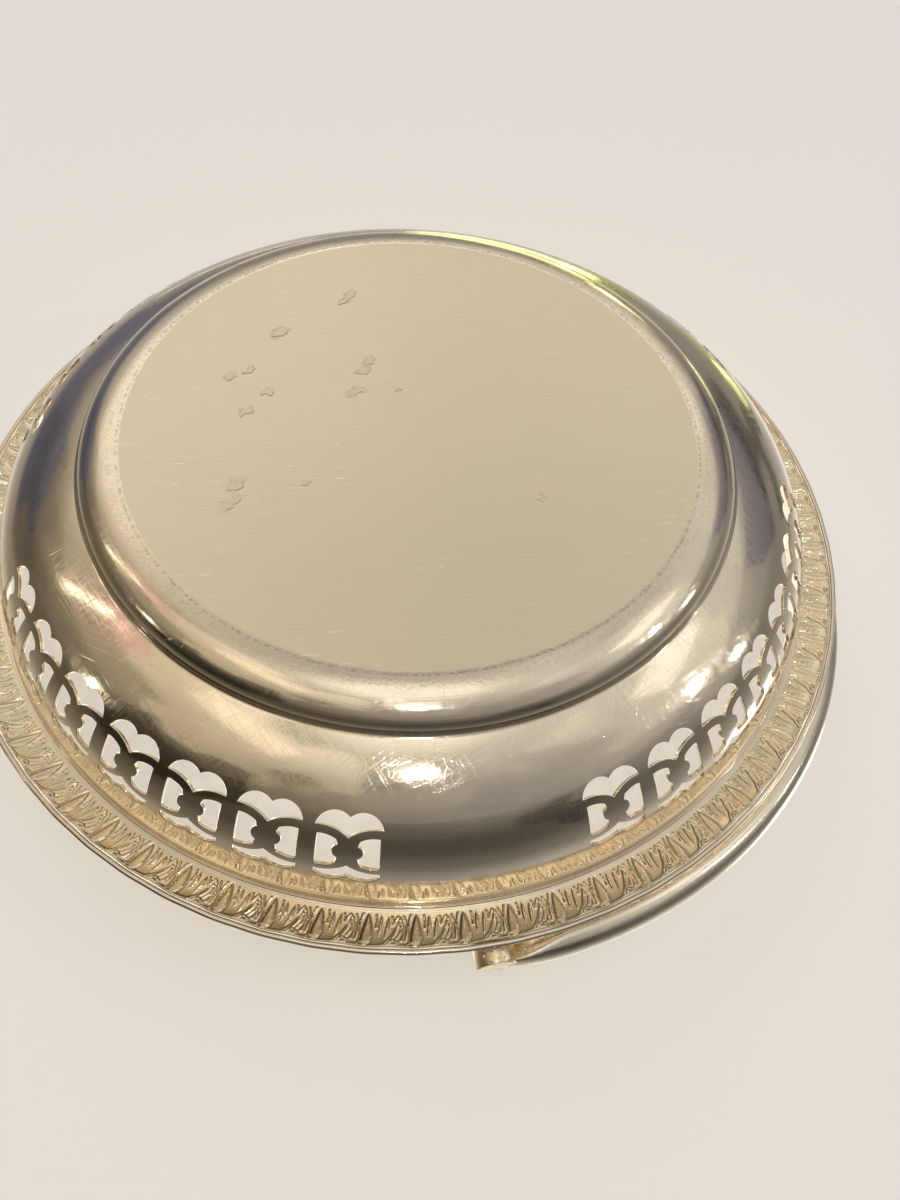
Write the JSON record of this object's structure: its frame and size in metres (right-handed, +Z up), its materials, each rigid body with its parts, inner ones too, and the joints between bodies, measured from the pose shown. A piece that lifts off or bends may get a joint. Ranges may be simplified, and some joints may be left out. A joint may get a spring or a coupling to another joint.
{
  "type": "swing-handled pierced basket",
  "caption": "Round shallow metal basket with a pierced wall, a relief border round the rim and a swing handle folded over the rim.",
  "frame": {"origin": "middle of the flat underside of the base", "axes": "+Z up when the basket stands on its base, Y along the hinge axis, the folded handle lies on the +X side"},
  "size_m": [0.2631, 0.2616, 0.0624],
  "materials": {
    "dish_silver": "polished silver plate, satin on the flat of the base",
    "border_silver": "polished relief with tarnish in its hollows",
    "handle_silver": "polished"
  },
  "bodies": {
    "basket": {"dish": "dish_silver", "rim_border": "border_silver", "edge_wire": "border_silver", "hinge_lug_front": "border_silver", "hinge_lug_back": "border_silver"},
    "handle": {"handle_bow": "handle_silver", "handle_knuckle_front": "handle_silver", "handle_knuckle_back": "handle_silver", "hinge_pin_front": "handle_silver", "hinge_pin_back": "handle_silver"}
  },
  "joints": [
    {"name": "handle_swing", "type": "hinge", "parent": "basket", "child": "handle", "pos_m": [0, 0, 0.04374], "axis": [0, -1, 0], "range_deg": [0, 167.4]}
  ]
}
